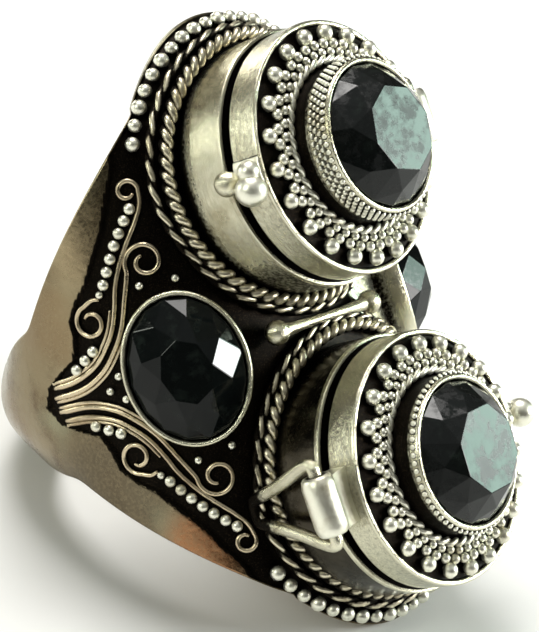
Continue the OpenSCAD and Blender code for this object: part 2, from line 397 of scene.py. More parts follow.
def smooth_path(points):
    """A Catmull-Rom curve through control points, evenly spaced."""
    step = 0.12
    pieces = 12
    p = np.asarray(points, float)
    p = np.vstack([2 * p[0] - p[1], p, 2 * p[-1] - p[-2]])
    out = []
    for i in range(1, len(p) - 2):
        for t in np.linspace(0, 1, pieces + 1)[:-1]:
            a, b, c, d = p[i - 1], p[i], p[i + 1], p[i + 2]
            out.append(
                0.5 * (2 * b + (c - a) * t + (2 * a - 5 * b + 4 * c - d) * t**2
                       + (3 * b - a - 3 * c + d) * t**3)
            )
    out.append(p[-2])
    out = np.array(out)
    length = np.r_[0, np.cumsum(np.linalg.norm(np.diff(out, axis=0), axis=1))]
    s = np.linspace(0, length[-1], max(4, int(length[-1] / step)))
    return np.stack([np.interp(s, length, out[:, i]) for i in range(out.shape[1])], -1)


# Materials: noise scales are in turns per metre, and bump distances are in metres

FINE_SCALE = 5200
BROAD_SCALE = 420
PIT_SCALE = 14000
FLUSH_SCALE = 150
SULPHIDE = (0.006, 0.005, 0.004)
RUBBED_SULPHIDE = (0.045, 0.032, 0.02)
ONYX = (0.003, 0.004, 0.004)
CLOUDED_ONYX = (0.012, 0.016, 0.014)
ONYX_IOR = 1.55
TINT_SHARE = 0.85


class Nodes:
    """A short way to write a material's nodes."""

    def __init__(self, name):
        self.material = bpy.data.materials.new(name)
        self.material.use_nodes = True
        self.tree = self.material.node_tree
        self.shader = self.tree.nodes["Principled BSDF"]

    def new(self, kind, **values):
        node = self.tree.nodes.new(kind)
        for key, value in values.items():
            if hasattr(node, key):
                setattr(node, key, value)
            else:
                node.inputs[key.replace("_", " ")].default_value = value
        return node

    def link(self, a, b):
        self.tree.links.new(a, b)

    def attribute(self, name, output):
        return self.new("ShaderNodeAttribute", attribute_name=name).outputs[output]

    def object_position(self):
        return self.new("ShaderNodeTexCoord").outputs["Object"]

    def noise(self, source, scale, detail, roughness=0.55):
        node = self.new("ShaderNodeTexNoise", Scale=scale, Detail=detail, Roughness=roughness)
        self.link(source, node.inputs["Vector"])
        return node.outputs["Fac"]

    def math(self, operation, a, b=None, clamp=False):
        node = self.new("ShaderNodeMath", operation=operation, use_clamp=clamp)
        for i, value in enumerate((a, b)):
            if value is None:
                continue
            if isinstance(value, (int, float)):
                node.inputs[i].default_value = value
            else:
                self.link(value, node.inputs[i])
        return node.outputs[0]

    def ramp(self, value, low, high, out_low=0.0, out_high=1.0):
        node = self.new("ShaderNodeMapRange", interpolation_type="SMOOTHSTEP")
        self.link(value, node.inputs["Value"])
        ends = {"From Min": low, "From Max": high, "To Min": out_low, "To Max": out_high}
        for key, end in ends.items():
            node.inputs[key].default_value = end
        return node.outputs["Result"]

    def mix(self, factor, a, b):
        node = self.new("ShaderNodeMix", data_type="RGBA")
        self.link(factor, node.inputs[0])
        for socket, value in ((node.inputs[6], a), (node.inputs[7], b)):
            if isinstance(value, tuple):
                socket.default_value = (*value, 1)
            else:
                self.link(value, socket)
        return node.outputs[2]

    def bump(self, height, strength, distance, normal=None):
        node = self.new("ShaderNodeBump")
        node.inputs["Strength"].default_value = strength
        node.inputs["Distance"].default_value = distance
        self.link(height, node.inputs["Height"])
        if normal is not None:
            self.link(normal, node.inputs["Normal"])
        return node.outputs["Normal"]


def silver(name, tint, stain, rough, brushed=0.0, stains=0.5, flush=None, ragged=0.9, spots=()):
    """Worn silver whose patina attribute runs from 0, blackened, to 1, polished.

    rough is its least and most roughness, stains how far the stain spreads, flush two further tints in
    broad patches, ragged how uneven the blackening's edge is, and spots (place, reach, colour) of colour
    at one place, in the ring's own millimetres; on the band these include a painted dark reflection and
    a painted highlight.
    """
    n = Nodes(name)
    place_in = n.object_position()
    patina = n.attribute("patina", "Fac")
    fine = n.noise(place_in, FINE_SCALE, 5)
    broad = n.noise(place_in, BROAD_SCALE, 3)
    pits = n.noise(place_in, PIT_SCALE, 2)
    worn = n.math("ADD", patina, n.math("MULTIPLY", n.math("SUBTRACT", fine, 0.5), ragged))
    worn = n.ramp(worn, 0.3, 0.85)
    toned = n.mix(n.ramp(broad, 0.62 - 0.3 * stains, 0.78), tint, stain)
    if flush:
        slow = n.noise(place_in, FLUSH_SCALE, 2)
        toned = n.mix(n.ramp(slow, 0.52, 0.68, 0.0, TINT_SHARE), toned, flush[0])
        toned = n.mix(n.ramp(slow, 0.48, 0.34, 0.0, TINT_SHARE), toned, flush[1])
    # Spots of colour at one place; on the band some of them are painted reflection and painted highlight
    for centre, reach, colour in spots:
        where = n.attribute("brush", "Vector")
        away = n.new("ShaderNodeVectorMath", operation="DISTANCE")
        away.inputs[1].default_value = centre
        n.link(where, away.inputs[0])
        near = n.ramp(away.outputs["Value"], reach, 0.4 * reach, 0.0, TINT_SHARE)
        toned = n.mix(near, toned, colour)
    lighter = tuple(min(1.0, c * 1.2) for c in tint)
    toned = n.mix(n.ramp(fine, 0.35, 0.75, 0.0, 0.3), toned, lighter)
    black = n.mix(n.ramp(pits, 0.5, 0.85), SULPHIDE, RUBBED_SULPHIDE)
    n.link(n.mix(worn, black, toned), n.shader.inputs["Base Color"])
    mixed = n.math("MULTIPLY", n.math("ADD", broad, fine), 0.5)
    gloss = n.ramp(mixed, 0.3, 0.7, *rough)
    dull = n.math("MULTIPLY", n.math("SUBTRACT", 1.0, worn), 0.25)
    n.link(n.math("ADD", gloss, dull, clamp=True), n.shader.inputs["Roughness"])
    n.shader.inputs["Metallic"].default_value = 1.0
    normal = n.bump(fine, 0.25, 0.00002)
    normal = n.bump(broad, 0.35, 0.0002, normal)
    if brushed:
        lines = n.attribute("brush", "Vector")
        scale = n.new("ShaderNodeMapping", vector_type="POINT")
        scale.inputs["Scale"].default_value = (1.2, 1.2, 26)
        n.link(lines, scale.inputs["Vector"])
        streaks = n.noise(scale.outputs["Vector"], 3.0, 6, 0.7)
        normal = n.bump(streaks, brushed, 0.00004, normal)
    n.link(normal, n.shader.inputs["Normal"])
    return n.material


def onyx(name, shine, haze):
    """Polished black stone. haze is the roughness of its cloudy patches."""
    n = Nodes(name)
    place_in = n.object_position()
    cloud = n.noise(place_in, 900, 6, 0.65)
    specks = n.noise(place_in, 4200, 3)
    dark = n.mix(n.ramp(cloud, 0.5, 0.8), ONYX, CLOUDED_ONYX)
    n.link(dark, n.shader.inputs["Base Color"])
    speckled = n.ramp(specks, 0.35, 0.75, 0.0, 0.06)
    dull = n.math("ADD", speckled, n.ramp(cloud, 0.6, 0.38, 0.03, haze))
    n.link(dull, n.shader.inputs["Roughness"])
    n.shader.inputs["Specular IOR Level"].default_value = shine
    n.shader.inputs["IOR"].default_value = ONYX_IOR
    n.link(n.bump(cloud, 0.12, 0.00005), n.shader.inputs["Normal"])
    return n.material


def pale(name, colour):
    """The floor's matt finish."""
    n = Nodes(name)
    grain = n.noise(n.object_position(), 300, 3)
    darker = tuple(c * 0.97 for c in colour)
    n.link(n.mix(grain, colour, darker), n.shader.inputs["Base Color"])
    n.shader.inputs["Roughness"].default_value = 0.7
    return n.material


# Colours at one place of the polished border: copper low down and brown high up, a painted dark
# reflection low down and a pale painted highlight in the valley
BAND_TINT_AND_PAINTED_LIGHT_SPOTS = (
    ((-10.3, -9.6, 7.2), 3.4, (0.36, 0.165, 0.075)),
    ((-11.8, -5.5, 2.5), 5.4, (0.105, 0.086, 0.058)),
    ((-10.6, 8.2, 6.4), 3.5, (0.36, 0.28, 0.17)),
    ((5.0, 0.0, 11.0), 3.4, (0.62, 0.63, 0.52)),
)
# The band's dark brown tint is partly tarnish and partly painted dark reflection
BAND_SILVER = silver(
    "band_silver", tint=(0.27, 0.22, 0.135), stain=(0.14, 0.10, 0.058), rough=(0.16, 0.32), stains=0.7,
    flush=((0.30, 0.29, 0.19), (0.24, 0.175, 0.10)), ragged=0.3, spots=BAND_TINT_AND_PAINTED_LIGHT_SPOTS,
)
WALL_SILVER = silver(
    "wall_silver", tint=(0.74, 0.71, 0.55), stain=(0.38, 0.34, 0.22), rough=(0.14, 0.28), brushed=0.5,
)
# Painted shade: a much darker copy of the wall silver, given to the lower cup's wall to stand in for the
# dark reflections and shade on it
SHADE_PAINTED_SILVER = silver(
    "shade_painted_silver", tint=(0.066, 0.057, 0.042), stain=(0.02, 0.017, 0.012), rough=(0.16, 0.30),
    stains=0.9,
)
GRAIN_SILVER = silver(
    "grain_silver", tint=(0.86, 0.84, 0.72), stain=(0.52, 0.47, 0.34), rough=(0.32, 0.46), stains=0.25,
)
ROPE_SILVER = silver(
    "rope_silver", tint=(0.66, 0.60, 0.45), stain=(0.40, 0.33, 0.20), rough=(0.26, 0.40), stains=0.35,
)
WIRE_SILVER = silver(
    "wire_silver", tint=(0.62, 0.52, 0.36), stain=(0.34, 0.26, 0.16), rough=(0.24, 0.38), stains=0.4,
)
LID_STONE = onyx("onyx_lid", 0.27, 0.3)
SIDE_STONE = onyx("onyx_side", 0.14, 0.05)


# The band


def band_angles():
    """Angles from the top at which the band's sections stand, close together round the front."""
    front_end = 96
    front_step = 0.54
    back_step = 3.0
    front = np.arange(-front_end, front_end + 0.01, front_step)
    back = np.arange(front_end, 360 - front_end, back_step)[1:]
    return np.concatenate([front, np.where(back > 180, back - 360, back)])


def blackening(aa, y, across, rim):
    """How black each point is: not on the valley's far slope, and less along the rim."""
    ragged = 0.05 * np.sin(aa * 2.9 + y * 3.1) + 0.04 * np.sin(aa * 5.3 - y * 4.7)
    from_edge = (ground_edge(y) - np.abs(aa)) * MM_PER_DEGREE + ragged
    ground = ease(-0.22, 0.08, from_edge) * (0.35 + 0.65 * rim)
    return ground * (1 - ease(2.4, 3.4, across) * (1 - ease(1.8, 2.8, np.abs(y))))


def make_band():
    """The band's shell, one closed loop of points at each angle: outside, flank, finger hole, flank."""
    cols = 190
    flank_steps = 7
    inside_cols = 14
    a = band_angles()
    w = half_width(a)
    y = np.sin(np.linspace(-1, 1, cols) * math.pi / 2)[None] * w[:, None]
    aa = np.broadcast_to(a[:, None], y.shape)
    r = outer(aa, y)
    to_edge = w[:, None] - np.abs(y)
    rounding = np.sqrt(np.maximum(EDGE_BEVEL**2 - (EDGE_BEVEL - to_edge) ** 2, 0))
    r = r - np.where(to_edge < EDGE_BEVEL, EDGE_BEVEL - rounding, 0)
    rim = ease(0.0, 0.3, to_edge)
    r = r - GROUND_DEPTH * ground_depth(aa, y) * rim
    across = r * sind(aa)
    outside = np.stack([across, y, r * cosd(aa)], -1)
    black = blackening(aa, y, across, rim)

    inner_w = w - HEAD_SETBACK * (1 - ease(0, 50, np.abs(a)))
    inner_r = circle_reach(BORE_RISE, BORE_R, a)
    edge_t = HEAD_EDGE * (1 - ease(40, 50, np.abs(a))) + 0.1
    under = np.maximum(r[:, -1] - edge_t, inner_r + BORE_SKIN)

    def flank(sign):
        steps = np.linspace(0, 1, flank_steps + 1)[:, None]
        rr = under[None] * (1 - steps) + (inner_r + BORE_SKIN)[None] * steps
        ww = w[None] * (1 - steps) + inner_w[None] * steps
        return np.stack([rr * sind(a), sign * ww, rr * cosd(a)], -1).transpose(1, 0, 2)

    inner_y = np.linspace(1, -1, inside_cols)[None] * (inner_w - 0.1)[:, None]
    inside = np.stack([
        inner_r[:, None] * sind(aa[:, :1]) + 0 * inner_y,
        inner_y,
        inner_r[:, None] * cosd(aa[:, :1]) + 0 * inner_y,
    ], -1)
    points = np.concatenate([outside, flank(1), inside, flank(-1)[:, ::-1]], 1)
    flank_worn = np.full((len(a), flank_steps + 1), 0.95)
    worn = np.concatenate([1 - black, flank_worn, np.full((len(a), inside_cols), 1.0), flank_worn], 1)
    batch = Batch()
    faces = grid_faces(points.shape[0], points.shape[1], close_rows=True, close_cols=True)
    batch.add(points.reshape(-1, 3), faces, worn.reshape(-1))
    shell = batch.make("band_shell", RING, BAND_SILVER, sharp=50)
    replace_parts(shell, "band")


def ring_frame(side, ring_r, lift, count):
    """Points of a ring laid on the head, with the surface normal at each."""
    t = turn_angles(count)
    x = ring_r * np.cos(t)
    y = side * HALF_PITCH + ring_r * np.sin(t)
    z = head_z(x, y)
    e = 0.05
    nx = -(head_z(x + e, y) - head_z(x - e, y)) / (2 * e)
    ny = -(head_z(x, y + e) - head_z(x, y - e)) / (2 * e)
    normal = normalised(np.stack([nx, ny, np.ones_like(nx)], -1))
    return np.stack([x, y, z], -1) + normal * lift, normal


def add_rope(batch, path, normal, turns, strand_r, offset, bright):
    """Two strands twisted about a closed path, each offset from it."""
    n = len(path)
    sides = 7
    side, up = side_and_up(path, normal, closed=True)
    for phase in (0, math.pi):
        t = np.arange(n) * 2 * math.pi * turns / n + phase
        strand = path + side * (np.cos(t) * offset)[:, None] + up * (np.sin(t) * offset)[:, None]
        add_tube(batch, strand, normal, strand_r, sides, closed=True)
        above = batch.points[-1] - np.repeat(path, sides, 0)
        height = np.einsum("ij,ij->i", above, np.repeat(up, sides, 0))
        batch.patina[-1] = ease(bright[0], bright[1], height / (strand_r + offset))


def make_head_trim():
    """The twisted rope, the thin wire outside it and the row of grains round each lobe."""
    ropes = Batch()
    grains = Batch()
    for side in (-1, 1):
        path, normal = ring_frame(side, ROPE_RING_R, lift=0.32, count=540)
        add_rope(ropes, path, normal, turns=32, strand_r=0.24, offset=0.2, bright=(0.0, 0.85))
        path, normal = ring_frame(side, THIN_RING_R, lift=0.06, count=520)
        add_rope(ropes, path, normal, turns=20, strand_r=0.19, offset=0.12, bright=(0.3, 1.0))
        for k in range(-SIDE_GRAINS, SIDE_GRAINS + 1):
            t = math.radians(k * GRAIN_STEP)
            x = GRAIN_RING_R * math.sin(t)
            y = side * (HALF_PITCH + GRAIN_RING_R * math.cos(t))
            size = GRAIN_R * (1 + 0.08 * math.sin(k * 2.3 + side))
            z = float(head_z(x, y)) + 0.16
            out = np.array([math.sin(t) * 0.65, side * math.cos(t) * 0.65, 0.75])
            add_ball(grains, (x, y, z), size, out)
    ropes.make("head_ropes", RING, ROPE_SILVER)
    grains.make("lobe_grains", RING, GRAIN_SILVER)


# Shoulder ornament: control points are (angle from the top, y along the finger)


def spiral(centre, start, r0, r1, turns):
    """Points of a spiral on the shoulder, from radius r0 to r1 in millimetres."""
    t = np.linspace(0, 1, 40)
    r = r0 + (r1 - r0) * t
    b = math.radians(start) + turns * 2 * math.pi * t
    x = centre[0] + r * np.cos(b) / MM_PER_DEGREE
    y = centre[1] + r * np.sin(b)
    return list(zip(x.tolist(), y.tolist()))


OUTER_WIRE = [(83, 0.95), (75, 1.05), (68, 1.55), (63, 2.45), (60, 3.3), (57.8, 4.3), (56, 5.3),
              (53, 6.4), (49.5, 7.4), (46, 8.3), (43.6, 9.1)]
INNER_WIRE = [(84, 0.4), (74, 0.5), (67, 1.05), (62, 1.95), (58, 3.05), (54.6, 4.6), (52.5, 5.6)]


def shoulder_paths():
    """Each path, whether it starts thick in the fan, and its wires.

    A wire has its shift to the side, its radius and the share of the path that it runs.
    """
    hook = OUTER_WIRE + spiral((45.6, 9.95), 185, 0.6, 0.34, -0.9)
    inner = INNER_WIRE + spiral((47.0, 6.1), 350, 1.1, 0.36, 1.25)
    scroll = [(61.2, 4.9), (63.2, 5.0)] + spiral((65.3, 3.85), 85, 0.95, 0.42, -1.1)
    main = (0.0, STRAND_R, 1.0)
    return (
        (hook, True, (main, (-0.26, THIN_STRAND_R, 0.42))),
        (inner, True, (main, (0.24, THIN_STRAND_R, 0.4))),
        (scroll, False, (main,)),
    )


SHOULDER_GRAINS = [
    (46.4, 9.0), (48.6, 8.5), (50.8, 7.95), (52.9, 7.4), (54.9, 6.8), (56.8, 6.2), (58.7, 5.6),
    (67.2, 2.35), (70.2, 2.0), (73.6, 1.62),
]
SMALL_GRAINS = [(62.8, 0.65), (50.2, 4.95), (41.2, 4.75), (60.6, 5.15)]


def add_scrolls(batch, flank, up):
    """The wires of one quarter: flank and up are -1 or 1."""
    for path, fans, strands in shoulder_paths():
        flat = smooth_path([(p[0] * MM_PER_DEGREE, p[1]) for p in path])
        along = normalised(np.gradient(flat, axis=0))
        across = np.stack([-along[:, 1], along[:, 0]], -1)
        for shift, radius, share in strands:
            line = (flat + across * shift)[:int(len(flat) * share)]
            a = line[:, 0] / MM_PER_DEGREE
            y = up * line[:, 1]
            lift = -GROUND_DEPTH * ground_depth(a, y) + radius * 0.8
            points = on_band(flank * a, y, lift)
            normal = normalised(np.stack([sind(flank * a), 0 * a, cosd(a)], -1))
            order = np.arange(len(a))
            taper = radius * (0.7 + 0.3 * ease(0, 5, np.minimum(order, order[::-1])))
            if fans:
                taper = taper * (1 + 0.35 * (1 - ease(5, 35, order)))
            add_tube(batch, points, normal, taper, 8, bright=(-0.2, 0.75))


def add_shoulder_grain(batch, a, y, size, sink, **options):
    centre = on_band(np.array(a), np.array(y), -GROUND_DEPTH + sink)
    add_ball(batch, centre, size, (sind(a), 0, cosd(a)), **options)


def make_shoulders():
    wires = Batch()
    beads = Batch()
    for flank in (-1, 1):
        for up in (-1, 1):
            add_scrolls(wires, flank, up)
            for size, places in ((BIG_GRAIN_R, SHOULDER_GRAINS), (SMALL_GRAIN_R, SMALL_GRAINS)):
                for a, y in places:
                    add_shoulder_grain(beads, flank * a, up * y, size, size * 0.7,
                                       rings=9, sides=16, squash=0.85)
        add_shoulder_grain(beads, flank * MIDDLE_GRAIN_AT, 0.0, SMALL_GRAIN_R, 0.16)
    wires.make("shoulder_scrolls", RING, WIRE_SILVER)
    beads.make("shoulder_grains", RING, GRAIN_SILVER)


# Oval settings and cut stones


def on_shoulder(side, points):
    """Turns points drawn round the upright axis onto a shoulder, side -1 or 1."""
    lean = math.radians(side * SIDE_LEAN)
    turn = np.array([
        [math.cos(lean), 0, math.sin(lean)],
        [0, 1, 0],
        [-math.sin(lean), 0, math.cos(lean)],
    ])
    return np.asarray(points, float) @ turn.T


def make_side_bezels():
    """The oval walls, drawn from rows of (inset from the outline, z, patina)."""
    batch = Batch()
    steps = 96
    t = turn_angles(steps)
    rows = [
        (0.12, 10.4, 0.2), (0.12, 11.9, 0.35), (0.0, 12.5, 0.8), (0.0, SIDE_RIM - 0.1, 1.0),
        (0.05, SIDE_RIM - 0.01, 1.0), (0.14, SIDE_RIM + 0.03, 1.0), (0.25, SIDE_RIM - 0.02, 1.0),
        (SIDE_WALL, SIDE_RIM - 0.12, 0.8), (SIDE_WALL + 0.02, SIDE_RIM - 0.6, 0.2),
    ]
    points = np.stack([
        np.stack([(SIDE_HALF_W - inset) * np.cos(t), (SIDE_HALF_L - inset) * np.sin(t), 0 * t + z], -1)
        for inset, z, _ in rows
    ], 1).reshape(-1, 3)
    worn = np.tile([shade for _, _, shade in rows], steps)
    faces = flipped(grid_faces(steps, len(rows), close_rows=True))
    for side in (-1, 1):
        batch.add(on_shoulder(side, points), faces, worn)
    batch.make("side_bezels", RING, WALL_SILVER)


def cut_stone(rx, ry, girdle_z, crown_h, table, depth):
    """A brilliant-style crown with a table, stars, kites and paired girdle facets, over a plain back."""
    eighths = 8
    sixteenths = 16

    def level(share, z, count, turn=0.0):
        t = np.radians(turn + np.arange(count) * 360 / count)
        return np.stack([rx * share * np.cos(t), ry * share * np.sin(t), np.full(count, z)], -1)

    points = np.concatenate([
        level(table, girdle_z + crown_h, eighths),
        level(1 - 0.45 * (1 - table), girdle_z + crown_h * 0.55, eighths, 22.5),
        level(1.0, girdle_z, sixteenths),
        level(1.0, girdle_z - 0.3, sixteenths),
        level(0.8, girdle_z - depth, sixteenths),
    ])
    mid = eighths
    girdle = mid + eighths
    lower = girdle + sixteenths
    back = lower + sixteenths
    faces = [tuple(range(eighths))]
    for i in range(eighths):
        n, p = (i + 1) % eighths, (i - 1) % eighths
        faces.append((i, mid + i, n))
        faces.append((i, mid + p, girdle + 2 * i, mid + i))
        faces.append((mid + i, girdle + 2 * i, girdle + 2 * i + 1))
        faces.append((mid + i, girdle + 2 * i + 1, girdle + 2 * n))
    for ring in (girdle, lower):
        for i in range(sixteenths):
            n = (i + 1) % sixteenths
            faces.append((ring + i, ring + sixteenths + i, ring + sixteenths + n, ring + n))
    faces.append(tuple(back + sixteenths - 1 - i for i in range(sixteenths)))
    return points, faces


def make_stone(node, points, faces, body, material):
    piece = make("cut_" + node, points, faces, body, material, smooth=False)
    bevel = piece.modifiers.new("soft_edges", "BEVEL")
    bevel.width = SOFT_EDGE
    bevel.segments = 2
    bevel.limit_method = "ANGLE"
    bevel.angle_limit = math.radians(8)
    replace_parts(piece, node)


def make_stones():
    lid_stones = (
        ("stone_upper", CUP_UPPER, UPPER, 8, UPPER_BEZEL_TOP),
        ("stone_lower", CUP_LOWER, LOWER, 20, LOWER_BEZEL_TOP),
    )
    for node, centre, body, turn, rim in lid_stones:
        points, faces = cut_stone(STONE_R, STONE_R, rim - GIRDLE_SINK, STONE_CROWN, STONE_TABLE, 1.6)
        b = math.radians(turn)
        spin = np.array([[math.cos(b), math.sin(b), 0], [-math.sin(b), math.cos(b), 0], [0, 0, 1]])
        make_stone(node, points @ spin + [centre[0], centre[1], 0], faces, body, LID_STONE)
    points, faces = cut_stone(
        SIDE_HALF_W - SIDE_WALL - SIDE_PLAY, SIDE_HALF_L - SIDE_WALL - SIDE_PLAY,
        SIDE_RIM - GIRDLE_SINK, SIDE_CROWN, SIDE_TABLE, 1.3,
    )
    for node, side in (("side_stone_near", -1), ("side_stone_far", 1)):
        make_stone(node, on_shoulder(side, points), faces, RING, SIDE_STONE)


# Lockets


def make_cup(name, centre, material, painted_dark_side=0.0):
    """A cup's wall and its rim with the lip and floor. Its last argument paints shade onto the wall's
    near lower side, a darkening that stands in for the dark reflections there.
    """
    wall = Batch()
    add_lathe(wall, centre, [
        (CUP_R - 0.35, 10.2, 0.1), (CUP_R - 0.02, 11.1, 0.15), (CUP_R, 11.7, 0.7), (CUP_R, 12.1, 1.0),
        (CUP_R, CUP_TOP - 0.32, 1.0),
    ])
    way = wall.points[-1][:, :2] - np.array(centre)
    t = np.degrees(np.arctan2(way[:, 1], way[:, 0])) % 360
    # Painted shade: the wall is darkened between about 200 and 330 degrees round the cup, standing in
    # for dark reflections
    wall.patina[-1] = wall.patina[-1] * (1 - painted_dark_side * ease(200, 235, t) * (1 - ease(300, 330, t)))
    wall.make(name + "_wall", RING, material, sharp=60)
    rim = Batch()
    add_lathe(rim, centre, [
        (CUP_R - 0.02, CUP_TOP - 0.34, 0.5), (CUP_R + 0.02, CUP_TOP - 0.3, 0.9),
        (CUP_R + 0.02, CUP_TOP - 0.03, 1.0), (CUP_R - 0.12, CUP_TOP, 0.9),
        (CUP_R - 0.2, CUP_TOP, 0.2), (LIP_R + 0.02, CUP_TOP - 0.02, 0.0),
        (LIP_R, CUP_TOP + 0.05, 0.0), (LIP_R, CUP_TOP + 0.82, 0.3), (LIP_R - 0.43, CUP_TOP + 0.82, 0.9),
        (LIP_R - 0.45, CUP_FLOOR + 0.05, 0.5), (LIP_R - 0.9, CUP_FLOOR, 0.3), (0.01, CUP_FLOOR, 0.6),
    ])
    rim.make(name + "_rim", RING, WALL_SILVER, sharp=60)


def make_lid_shell(node, centre, body, rim, collar_low):
    """The lid from its inside, round its wall and edge, over its face and collar to the stone's seat."""
    shell = Batch()
    roof = LID_TOP - LID_ROOF_T
    add_lathe(shell, centre, [
        (0.01, roof, 0.7), (6.45, roof, 0.6), (6.5, roof - 0.1, 0.6), (6.5, LID_LOW + 0.02, 0.4),
        (6.58, LID_LOW, 0.0), (LID_R - 0.06, LID_LOW, 0.0), (LID_R, LID_LOW + 0.07, 0.8),
        (LID_R, LID_LOW + 0.2, 0.8), (LID_R, LID_TOP - 0.12, 0.76), (LID_R + 0.03, LID_TOP + 0.02, 1.0),
        (LID_R - 0.02, LID_TOP + 0.14, 1.0), (LID_R - 0.16, LID_TOP + 0.17, 1.0),
        (LID_R - 0.26, LID_TOP + 0.12, 1.0), (LID_R - 0.31, LID_TOP + 0.02, 0.3),
        (LID_R - 0.36, LID_TOP - 0.03, 0.0), (6.2, LID_TOP + 0.08, 0.0), (5.4, LID_TOP + 0.28, 0.0),
        (4.7, LID_TOP + 0.34, 0.0), (4.46, LID_TOP + 0.36, 0.0), (4.34, LID_TOP + 0.6, 0.0),
        (BEZEL_R, collar_low - 0.25, 0.0), (BEZEL_R, collar_low, 0.5), (BEZEL_R, collar_low + 0.2, 0.9),
        (BEZEL_R, rim - 0.12, 1.0), (BEZEL_R - 0.05, rim, 1.0), (BEZEL_R - 0.18, rim + 0.04, 1.0),
        (STONE_R + 0.05, rim - 0.05, 1.0), (STONE_R + 0.02, rim - 0.5, 0.2), (0.01, rim - 0.6, 0.1),
    ], radius=0.05)
    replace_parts(shell.make(node + "_shell", body, WALL_SILVER, sharp=55), node)


def make_lid_beads(node, centre, body, rim, collar_rows):
    """Three rows of beads on the face, a twisted rope inside them and the rows of the collar."""
    trim = Batch()
    up = np.array([0, 0, 1.0])
    face_bright = (-0.65, 0.15)
    collar_bright = (-0.1, 0.8)
    scatter = 12.9898
    rows = [
        (BIG_BEADS, 6.2, LID_TOP + 0.38, 0.46, 0.0, face_bright),
        (SMALL_BEADS, 5.6, LID_TOP + 0.44, 0.31, 0.5, face_bright),
        (SMALL_BEADS, 5.12, LID_TOP + 0.47, 0.27, 0.0, face_bright),
    ]
    for k in range(collar_rows):
        rows.append((COLLAR_BEADS, 4.3, rim - 0.3 - COLLAR_STEP * k, 0.165, 0.5 * k, collar_bright))
    for count, r, z, size, shift, bright in rows:
        for i in range(count):
            t = 2 * math.pi * (i + shift) / count
            out = np.array([math.cos(t), math.sin(t), 0])
            facing = up if bright == face_bright else normalised(out * 0.8 + up * 0.6)
            uneven = 1 + 0.06 * math.sin(i * scatter + r)
            bead = np.array([centre[0], centre[1], z]) + out * r
            add_ball(trim, bead, size * uneven, facing, 6, 11, bright)
    t = turn_angles(528)
    path = np.stack([LID_ROPE_R * np.cos(t), LID_ROPE_R * np.sin(t), 0 * t + LID_TOP + 0.46], -1)
    path += [centre[0], centre[1], 0]
    normal = np.broadcast_to(up, path.shape)
    add_rope(trim, path, normal, turns=20, strand_r=0.18, offset=0.13, bright=(-0.1, 0.7))
    trim.make(node + "_beads", body, GRAIN_SILVER)


def make_lid(node, centre, body, hinge_side, hinge_shift, rim, collar_rows):
    collar_low = rim - 0.3 - 0.3 * collar_rows
    make_lid_shell(node, centre, body, rim, collar_low)
    make_lid_beads(node, centre, body, rim, collar_rows)
    make_barrel(node, centre, body, hinge_side, hinge_shift)
    make_latch(node, centre, body, -hinge_side)


def add_neck(batch, start, end, radius):
    """A straight polished wire between two points."""
    path = np.array([start, end], float)
    along = normalised(path[1] - path[0])
    helper = np.array([0, 0, 1.0]) if abs(along[2]) < 0.9 else np.array([1.0, 0, 0])
    add_tube(batch, path, np.broadcast_to(helper, path.shape), radius, 20)
    batch.patina[-1] = np.full(len(batch.points[-1]), 1.0)


def add_clasp_ball(batch, centre, radius, side, rings=17, sides=28):
    add_ball(batch, centre, radius, (side, 0, 0.3), rings, sides, bright=(-1.6, -0.9))


def make_barrel(node, centre, body, side, shift):
    """The lid's rounded barrel about the hinge pin, and the web that ties it to the lid's wall."""
    batch = Batch()
    x, y, z = centre[0] + side * HINGE_OUT, centre[1] + shift, HINGE_Z
    half = BARREL_L / 2
    stations = [
        (-half, PIN_R + 0.05, 0.2), (-half, BARREL_R - 0.26, 0.7), (-half + 0.12, BARREL_R - 0.14, 0.95),
        (-half + 0.5, BARREL_R - 0.04, 1.0), (half - 0.5, BARREL_R - 0.04, 1.0),
        (half - 0.12, BARREL_R - 0.14, 0.95), (half, BARREL_R - 0.26, 0.7), (half, PIN_R + 0.05, 0.2),
    ]
    sides = 40
    points = [
        (x + r * math.cos(b), y + along, z + r * math.sin(b))
        for along, r, _ in stations for b in turn_angles(sides)
    ]
    worn = np.repeat([shade for _, _, shade in stations], sides)
    batch.add(points, grid_faces(len(stations), sides, close_cols=True), worn)
    slices = 9
    web = []
    for along in np.linspace(-half + 0.15, half - 0.15, slices):
        wall = centre[0] + side * math.sqrt((LID_R - 0.1) ** 2 - (along + shift) ** 2)
        mid = (x + wall) / 2
        outline = ((-0.45, x), (-0.45, wall), (0.62, wall), (0.66, mid), (0.85, x - side * 0.35))
        web += [(xx, y + along, z + dz) for dz, xx in outline]
    corners = len(outline)
    faces = grid_faces(slices, corners, close_cols=True)
    faces += [tuple(range(corners)), tuple(range(slices * corners - 1, (slices - 1) * corners - 1, -1))]
    batch.add(web, faces if side < 0 else flipped(faces), 0.95)
    batch.make(node + "_barrel", body, GRAIN_SILVER, sharp=60)


def make_latch(node, centre, body, side):
    """The lid's clasp ball, the smaller ball beside it on the near side, their necks and the plate."""
    batch = Batch()
    ball = np.array([centre[0] + side * (LID_R + 1.15), centre[1] - 0.38 + side * 0.2, LID_TOP])
    add_clasp_ball(batch, ball, LID_BALL_R, side)
    if side < 0:
        add_clasp_ball(batch, ball + [0.15, 0.95, 0.1], SECOND_BALL_R, side, 13, 20)
    wall_x = centre[0] + side * (LID_R - 0.1)
    add_neck(batch, ball, (wall_x, ball[1] + 0.2, LID_TOP - 0.5), 0.36)
    add_neck(batch, ball, (wall_x, ball[1] + 1.0, LID_TOP - 0.5), 0.3)
    add_latch_plate(batch, centre, side, math.degrees((ball[1] + 0.9 - centre[1]) / LID_R))
    batch.make(node + "_latch", body, GRAIN_SILVER, sharp=50)


